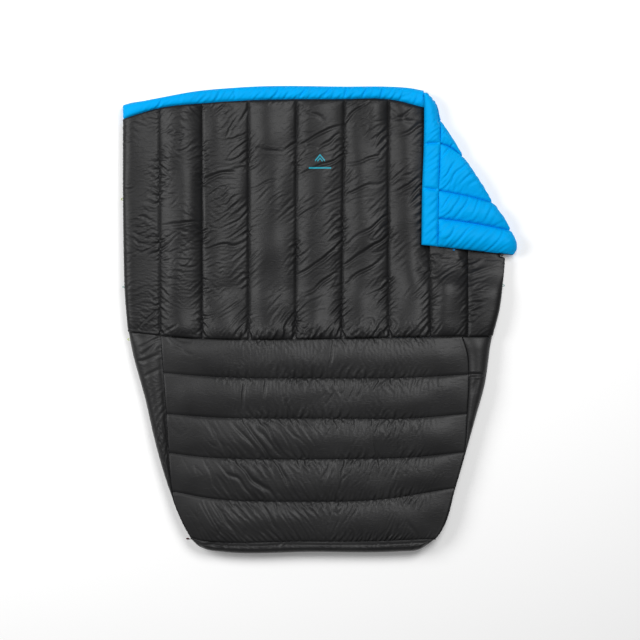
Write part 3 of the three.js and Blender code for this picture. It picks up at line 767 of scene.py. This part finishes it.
seam_rows = [int(n) for n in np.flatnonzero(share[:, 0] == 0)[1:4]]
first_top_row = int(np.flatnonzero(bay[:, 0] == 4)[0])
gap = seam_distance(corner, [BAND_COLUMNS])
row_gap = seam_distance(corner, (), seam_rows)
near = np.exp(-np.minimum(gap, np.where(column >= BAND_COLUMNS, row_gap, 200)) / 20)
patch = np.clip(0.6 + 0.5 * noise(cx, cy, 110, 5), 0, 1.6)
fixed = np.zeros(cx.shape, bool)
fixed[:, [0, BAND_COLUMNS, -1]] = True
fixed[[0, -1]] = True
for row in seam_rows:
    fixed[row, BAND_COLUMNS:] = True
    fixed[row, 4:BAND_COLUMNS:3] = row != seam_rows[0]
folds = (0.016 + 0.026 * patch, 0.016 + 0.038 * patch)
puckers = (0.030 * near * patch, 0.060 * near * patch)
corner = settle(corner, fixed, folds, puckers, -0.14 + 0 * cx, 12, limit=6.0)
print("corner", corner.shape, "from", corner.min((1, 2)).round(0), "to", corner.max((1, 2)).round(0))

# %% Its lining, its shell and its collar
out = normals(corner)
rows = slice(0, first_top_row + 1)
face_outer = corner[:, rows, BAND_COLUMNS:].copy()
face_out = out[:, rows, BAND_COLUMNS:]
face_outer[0, :, 0] += 0.5
gap_all = np.minimum(gap, np.where(column >= BAND_COLUMNS, row_gap, 200))
lining_back = face_outer - 1.5 * face_out
pad_outer = face_outer - 1.9 * face_out
lining_back[2] = np.maximum(lining_back[2], 0.2)
pad_outer[2] = np.maximum(pad_outer[2], 0.4)
lining_piece = tube("corner_lining_cloth", face_outer, lining_back, blue, gap_all[rows, BAND_COLUMNS:])
pad_outer[1, 0] -= 2.5
end_x = (fold_x - radius)[rows]
steps = np.linspace(0, 1, 12)[None, :]
pad_x = np.concatenate([blend(face_outer[0][:, :1], end_x, steps), end_x + 1, end_x], axis=1)
pad_y = blend(at_edge[rows], at_fold[rows], (pad_x - edge_x[rows]) / (fold_x - edge_x)[rows])
pad_y[0] -= 2.5
pad_z = np.concatenate([np.full((pad_x.shape[0], 12), LAYER), np.full_like(end_x, LAYER - 1),
                        np.full_like(end_x, LAYER - 2)], axis=1)
corner_pad = tube("quilt_corner", pad_outer, np.stack([pad_x, pad_y, pad_z]), shell)

# The collar's stretch: below the last seam it ends at the band's seam, above it goes round the whole fold.
stretch = corner.copy()
wall = np.linspace(0, 1, FACE_COLUMNS + 1)[None, :]
below = np.arange(corner.shape[1]) < first_top_row
seam_point = corner[:, :, BAND_COLUMNS:BAND_COLUMNS + 1]
foot_point = seam_point.copy()
foot_point[2] = LAYER + 0.4
stretch[:, below, BAND_COLUMNS:] = blend(seam_point, foot_point, wall)[:, below]
steps = np.linspace(0, 1, 8)[None, :]
end_x = np.where(below[:, None], seam_point[0] - 0.5, fold_x - radius)
just_past = end_x + np.where(below[:, None], 0, 1)
in_x = np.concatenate([blend(edge_x + 1, end_x, steps), just_past, end_x], axis=1)
in_y = blend(at_edge, at_fold, (in_x - edge_x) / (fold_x - edge_x))
tip = blend(0.45, 1, quarter((corner_tip - at_edge) / 70))
in_z = np.concatenate([np.tile((LAYER + 0.3) * tip, (1, 8)),
                       np.where(below[:, None], LAYER + 0.3, LAYER - 1) * tip,
                       np.where(below[:, None], LAYER + 0.3, LAYER - 2) * tip], axis=1)
collar_corner = tube("collar_corner", stretch, np.stack([in_x, in_y, in_z]), blue,
                     np.where(below[:, None] & (column > BAND_COLUMNS), 200, gap))

# %% [markdown]
# ## The footbox
#
# The footbox lies flat with its top panel over its back. The top panel has five channels across it. A side
# panel on each side and a strip at the foot end roll over the outer edge and come down to the floor, so they
# are strips whose section is an arc. The back rests on the floor between them.

# %% The top of the footbox
PANEL_CROWN = 38.0  # thickness in the middle of a side panel
TOP_PANEL = LAYER + 1.3  # the floor of the top panel, a little over the back
bay_rows = [even(length) for length in (175, 183, 174, 173, 171)]
footbox_rows = stations(*bay_rows)
bay, share = footbox_rows[:, :1].astype(int), footbox_rows[:, 1:]
width_columns = even(1290)
cross = np.linspace(0, 1, width_columns + 1)[None, :]


def footbox_line(x):
    """The height of every row of the footbox at x, between the foot seam and the waist."""
    heights = np.stack([seam(x) for seam in footbox_seams])
    low = np.take_along_axis(heights, np.broadcast_to(bay, x.shape)[None], 0)[0]
    high = np.take_along_axis(heights, np.broadcast_to(bay + 1, x.shape)[None], 0)[0]
    return np.clip(blend(low, high, share), foot_seam(x) + 0.3, waist_seam(x) - 1)


fx = blend(left_panel_seam(-500.0), right_panel_seam(-500.0), cross) + 0 * bay
for _ in range(8):
    fy = footbox_line(fx)
    fx = blend(left_panel_seam(fy) + 0.3, right_panel_seam(fy) - 0.3, cross)
fy = footbox_line(fx)
inward = 0.55 * (0.4 + 0.6 * smooth(0, 0.10, np.minimum(cross, 1 - cross)))
down = 2.5 * (np.sin(fx / 61 + fy / 97) + np.sin(fy / 43 - fx / 157)) / 2 + 1.6 * noise(fx, fy, 150, 6)
fz = TOP_PANEL + PLUMP + (CROWN - PLUMP + down) * puff(share) * inward
on_seam = (share == 0) & (bay > 0)
fz = np.where(on_seam, TOP_PANEL + DRAWN_IN, fz)
to_right = smooth(-120, 60, fx)
crinkles = (1 - to_right) * crinkle(fx, fy, -50, 110, 24, 45, 0.3) * 1.2 * smooth(-400, -430, fy)
crinkles += to_right * smooth(560, 400, fx) * crinkle(fx, fy, 70, 80, 20, 48) * 1.4
fz -= np.where(on_seam, 0, crinkles)
footbox = np.stack([fx, fy, fz])
press(footbox, [
    # folds that slant down to the right
    (-390, -435, -270, -560, 9, 6), (-330, -440, -210, -590, 9, 7), (-280, -470, -150, -590, 10, 8),
    (-255, -435, -160, -570, 8, 5), (-410, -640, -290, -760, 9, 7), (-350, -620, -210, -760, 10, 7),
    (-300, -660, -180, -775, 9, 6), (-450, -800, -350, -930, 10, 6), (-250, -800, -190, -900, 9, 4),
    (-470, -440, -410, -560, 8, 3), (-500, -620, -440, -730, 8, 3), (-180, -610, -130, -730, 8, 5),
    # upright pleats in the middle of the rows
    (-325, -265, -330, -370, 8, 6), (-230, -250, -235, -330, 8, 4), (-150, -340, -140, -420, 8, 4),
    (60, -100, 40, -190, 8, 4), (150, -260, 130, -350, 8, 4), (250, -600, 235, -520, 8, 4),
    (40, -610, 20, -690, 8, 4),
    # short pleats above the foot
    (-440, -950, -420, -880, 8, 5), (-330, -955, -320, -890, 8, 4), (420, -945, 380, -870, 8, 5),
    (350, -950, 330, -890, 8, 4),
    # the knot at the left end of the waist
    (-660, -80, -600, -130, 7, 6), (-650, -110, -560, -150, 7, 5), (-640, -75, -560, -95, 6, 5),
])
seam_rows = [int(n) for n in np.flatnonzero(share[:, 0] == 0)[1:]]
gap = seam_distance(footbox, (0, width_columns), [0, *seam_rows, fx.shape[0] - 1])
row_gap = seam_distance(footbox, (), [0, *seam_rows, fx.shape[0] - 1])
near = np.exp(-row_gap / 30)
gathered = smooth(-470, -330, fx) * smooth(500, 400, fx)
patch = np.clip(0.6 + 0.5 * noise(fx, fy, 130, 7), 0, 1.6)
folds = ((0.003 + 0.026 * patch ** 1.5 + 0.040 * near) * (0.15 + 0.85 * gathered), 0.003)
puckers = ((0.001 + 0.110 * near * (0.4 + patch)) * (0.15 + 0.85 * gathered), 0.001)
lower_rows = smooth(-400, -430, fy)
slant = 0.10 * smooth(60, -120, fx) * lower_rows * smooth(-560, -420, fx) + 0.02 * noise(fx, fy, 160, 8)
fixed = np.zeros(fx.shape, bool)
fixed[[0, *seam_rows, -1]] = True
fixed[:, [0, -1]] = True
footbox = settle(footbox, fixed, folds, puckers, slant, 13)
steps = np.linspace(0, 1, 40)[None, :]
bx = blend(fx[:, :1], fx[:, -1:], steps)
base = np.stack([bx, np.stack([np.interp(row_x, xs, ys) for row_x, xs, ys in zip(bx, fx, fy)]),
                 np.full_like(bx, TOP_PANEL)])
footbox_top = tube("footbox_top_panel", footbox, base, shell, gap)

# %% [markdown]
# Each strip over an edge is made by one function. Its section starts at the seam, rises over the crown, turns
# down at the outer edge and comes in along the floor, with a plain wall behind it.

# %% The side panels and the foot end
def strip_over_edge(name, inner_line, outer_line, inward, columns, seed, slant,
                    pins=(), troughs=(), rise=1.0):
    """inner_line and outer_line are (2, n) points, and inward (2, n) directions from the edge to the seam."""
    across = np.linspace(1, 0, columns + 1)[None, :]
    edge_turn = np.radians(np.linspace(0, 90, 15))[None, 1:]
    width = np.hypot(*(inner_line - outer_line))[:, None]
    crown = np.minimum(PANEL_CROWN, PLUMP + 0.3 * width)
    top = np.where(across < 0.5, quarter(across * 2) * crown, blend(PLUMP, crown, puff(across)))
    top = LAYER + 1 + top * np.asarray(rise).reshape(-1, 1)
    flat_points = [blend(o[:, None], i[:, None], across) for i, o in zip(inner_line, outer_line)]
    away = LAYER * (1 - np.cos(edge_turn))
    under_points = [o[:, None] + d[:, None] * away for o, d in zip(outer_line, inward)]
    drop = (LAYER + 1) * (1 - np.sin(edge_turn)) + 0 * width
    form = np.stack([np.concatenate([f, u], axis=1) for f, u in zip(flat_points, under_points)]
                    + [np.concatenate([top, drop], axis=1)])
    press(form, troughs)
    fixed = np.zeros(form.shape[1:], bool)
    fixed[:, [0, -1]] = True
    fixed[[0, -1]] = True
    for pin in pins:
        fixed[pin, :columns] = True
        form[2, pin - 1:pin + 2, 1:columns] -= 7
    patch = np.clip(0.6 + 0.5 * noise(form[0], form[1], 110, seed), 0, 1.6)
    gap = seam_distance(form, [0])
    near = np.exp(-gap / 20)
    form = settle(form, fixed, (0.003, 0.006 + 0.010 * patch), (0.002, 0.004 + 0.022 * near * patch),
                  slant + 0.04 * noise(form[0], form[1], 150, seed + 1), seed)
    t = np.array([0.0, 0.5, 1.0])[None, :]
    start = [i[:, None] for i in inner_line] + [np.full((width.size, 1), LAYER + 1.4)]
    end = [p[:, -1:] + 2 * d[:, None] for p, d in zip(under_points, inward)] + [np.full((width.size, 1), 0.6)]
    wall = np.stack([blend(s, e, t) for s, e in zip(start, end)])
    return tube(name, form, wall, shell, gap)


def side_strip(name, side, seam_column, sign, seed, slant, **more):
    inner = np.stack([fx[:, seam_column] - sign * 0.6, fy[:, seam_column]])
    level = np.clip(1 - (fy[-1, seam_column] - inner[1]) / 200, 0, 1)
    out_x, out_y = side(inner[1]), inner[1]
    for _ in range(3):
        out_y = inner[1] + (waist_seam(out_x) - waist_seam(inner[0])) * level
        out_x = side(out_y)
    inward = np.stack([np.full_like(out_x, sign), 0 * out_x])
    full = quarter(0.3 + (fy[-1, seam_column] - inner[1]) / 80)
    return strip_over_edge(name, inner, np.stack([out_x, out_y]), inward, 18, seed, slant, rise=full, **more)


left_strip = side_strip("footbox_left_panel", left_side, 0, 1.0, 21, 0.05,
                        troughs=[(-760, -150, -700, -105, 8, 7), (-780, -190, -700, -160, 8, 6),
                                 (-765, -115, -690, -85, 6, 6), (-750, -240, -690, -215, 8, 4)])
right_strip = side_strip("footbox_right_panel", right_side, -1, -1.0, 22, -0.05, pins=[seam_rows[-1]],
                         troughs=[(650, -330, 690, -250, 8, 4), (640, -500, 660, -430, 8, 4)])
foot_inner = np.stack([fx[0], foot_seam(fx[0]) - 0.3])
foot_outer = np.stack([fx[0], foot_edge(fx[0])])
foot_strip = strip_over_edge("foot_end_strip", foot_inner[:, ::-1], foot_outer[:, ::-1],
                             np.stack([0 * fx[0], 1 + 0 * fx[0]]), 12, 23, 0.0, troughs=[
                                 (-540, -950, -450, -960, 6, 10), (-540, -960, -500, -980, 6, 9),
                                 (-470, -960, -400, -950, 6, 7), (400, -950, 470, -950, 6, 8),
                                 (440, -980, 480, -950, 6, 7)])

# %% The back of the footbox
back_x = blend(fx[:, :1] + 50, fx[:, -1:] - 50, np.linspace(0, 1, 60)[None, :])
back_y = np.stack([np.interp(bx_, xs, ys) for bx_, xs, ys in zip(back_x, fx, fy)])
floor_side = np.stack([back_x, np.maximum(back_y, foot_edge(back_x) + 52) - 4 * (bay == 4) * share,
                       0.4 + 9 * np.exp(-(np.minimum(share, 1 - share) * 175 / 14) ** 2) + 0 * back_y])
lid_x = blend(fx[:, :1] + 4, fx[:, -1:] - 4, np.linspace(0, 1, 60)[None, :])
lid_y = np.stack([np.interp(bx_, xs, ys) for bx_, xs, ys in zip(lid_x, fx, fy)])
lid_y = np.maximum(lid_y, foot_seam(lid_x) + 4) - 4 * (bay == 4) * share
lid = np.stack([lid_x, lid_y, np.full_like(lid_x, LAYER + 0.8)])
back = tube("footbox_back_panel", lid, floor_side, shell)

# %% [markdown]
# ## Small fittings
#
# The cord loops, tape tabs, press stud and cord end are right as they are in the frame, so they stay and only
# get finishes of twisted cord and woven tape; the press stud takes the black cord's finish.

# %% Fittings
def trim_finish(name, colour, roughness, ribs, depth):
    material, shader, place = plain_material(name)
    x, y, z = place.xyz()
    twist = ((x + y * 0.7 + z * 0.4) * (2 * math.pi * ribs)).sine()
    bump = place.node("ShaderNodeBump", {"Height": twist * depth, "Strength": 0.6, "Distance": 1.0})
    # Painted shade: the colour is 0.7 as bright in the hollows of the twist, following the waves of its bump.
    shaded_hollow = (*[c * 0.7 for c in colour], 1)
    twist.ramp(-1, 1).between(shaded_hollow, (*colour, 1)).into(shader.inputs["Base Color"])
    bump.into(shader.inputs["Normal"])
    shader.inputs["Roughness"].default_value = roughness
    return material


yellow = trim_finish("yellow_cord", (0.48, 0.62, 0.02), 0.6, 700, 0.0003)
pale = trim_finish("pale_tape", (0.35, 0.62, 0.60), 0.7, 900, 0.0002)
black = trim_finish("black_trim", (0.012, 0.012, 0.013), 0.5, 700, 0.0002)
blue_tape = trim_finish("blue_tape", (0.01, 0.25, 0.60), 0.6, 900, 0.0002)
red_cord = trim_finish("red_cord", (0.10, 0.012, 0.015), 0.6, 700, 0.0003)
for node, material in {"loop_left_upper": yellow, "loop_left_lower": yellow, "tab_left": pale,
                       "tab_right": pale, "loop_corner_upper": black, "loop_corner_lower": black,
                       "press_stud": black, "loop_corner_side": blue_tape, "cord_end": red_cord}.items():
    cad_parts[node].data.materials.clear()
    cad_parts[node].data.materials.append(material)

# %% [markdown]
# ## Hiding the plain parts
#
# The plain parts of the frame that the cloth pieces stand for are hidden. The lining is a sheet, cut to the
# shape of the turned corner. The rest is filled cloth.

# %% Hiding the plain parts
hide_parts("upper_quilt")
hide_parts("upper_quilt")
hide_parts("collar_band")
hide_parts("collar_band")
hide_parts("corner_lining")
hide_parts("footbox_top")
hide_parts("footbox_side_left")
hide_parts("footbox_side_right")
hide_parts("foot_end")
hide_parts("footbox_back")

# %% [markdown]
# ## Floor, light and camera
#
# The quilt lies on a plain white floor under soft studio light from the upper left, and the camera looks
# straight down on it through a long lens, so its outline keeps its proportions.

# %% Floor and light
bm = bmesh.new()
bmesh.ops.create_grid(bm, x_segments=2, y_segments=2, size=12)
mesh = bpy.data.meshes.new("floor")
bm.to_mesh(mesh)
bm.free()
floor = bpy.data.objects.new("floor", mesh)
bpy.context.scene.collection.objects.link(floor)
paper = bpy.data.materials.new("floor_paper")
paper.use_nodes = True
for name, value in {"Base Color": (0.9, 0.9, 0.9, 1), "Roughness": 0.9,
                    "Emission Color": (1, 1, 1, 1), "Emission Strength": 0.16}.items():
    paper.node_tree.nodes["Principled BSDF"].inputs[name].default_value = value
mesh.materials.append(paper)


def soft_light(name, place, size, power, aim=(0, 0, 0)):
    lamp = bpy.data.lights.new(name, "AREA")
    lamp.shape = "DISK"
    lamp.size = size
    lamp.energy = power
    lamp_object = bpy.data.objects.new(name, lamp)
    lamp_object.location = place
    direction = Vector(aim) - Vector(place)
    lamp_object.rotation_euler = direction.to_track_quat("-Z", "Y").to_euler()
    bpy.context.scene.collection.objects.link(lamp_object)


soft_light("key", (-3.5, 1.1, 3.5), 2.8, 155)
soft_light("overhead", (1.5, 2.0, 5.0), 3.0, 205)
world = bpy.data.worlds.new("studio")
bpy.context.scene.world = world
world.use_nodes = True
world.node_tree.nodes["Background"].inputs["Color"].default_value = (1, 1, 1, 1)
world.node_tree.nodes["Background"].inputs["Strength"].default_value = 0.13
bpy.context.scene.view_settings.view_transform = "Standard"

# %% Camera
LENS, SENSOR, ACROSS = 160.0, 36.0, 2.752
camera_data = bpy.data.cameras.new("camera")
camera_data.lens, camera_data.sensor_width = LENS, SENSOR
camera_data.clip_end = 100
camera = bpy.data.objects.new("camera", camera_data)
camera.location = (TO_FRAME[0] / 1000, TO_FRAME[1] / 1000 - 0.0043, ACROSS * LENS / SENSOR + 0.05)
bpy.context.scene.collection.objects.link(camera)
bpy.context.scene.camera = camera
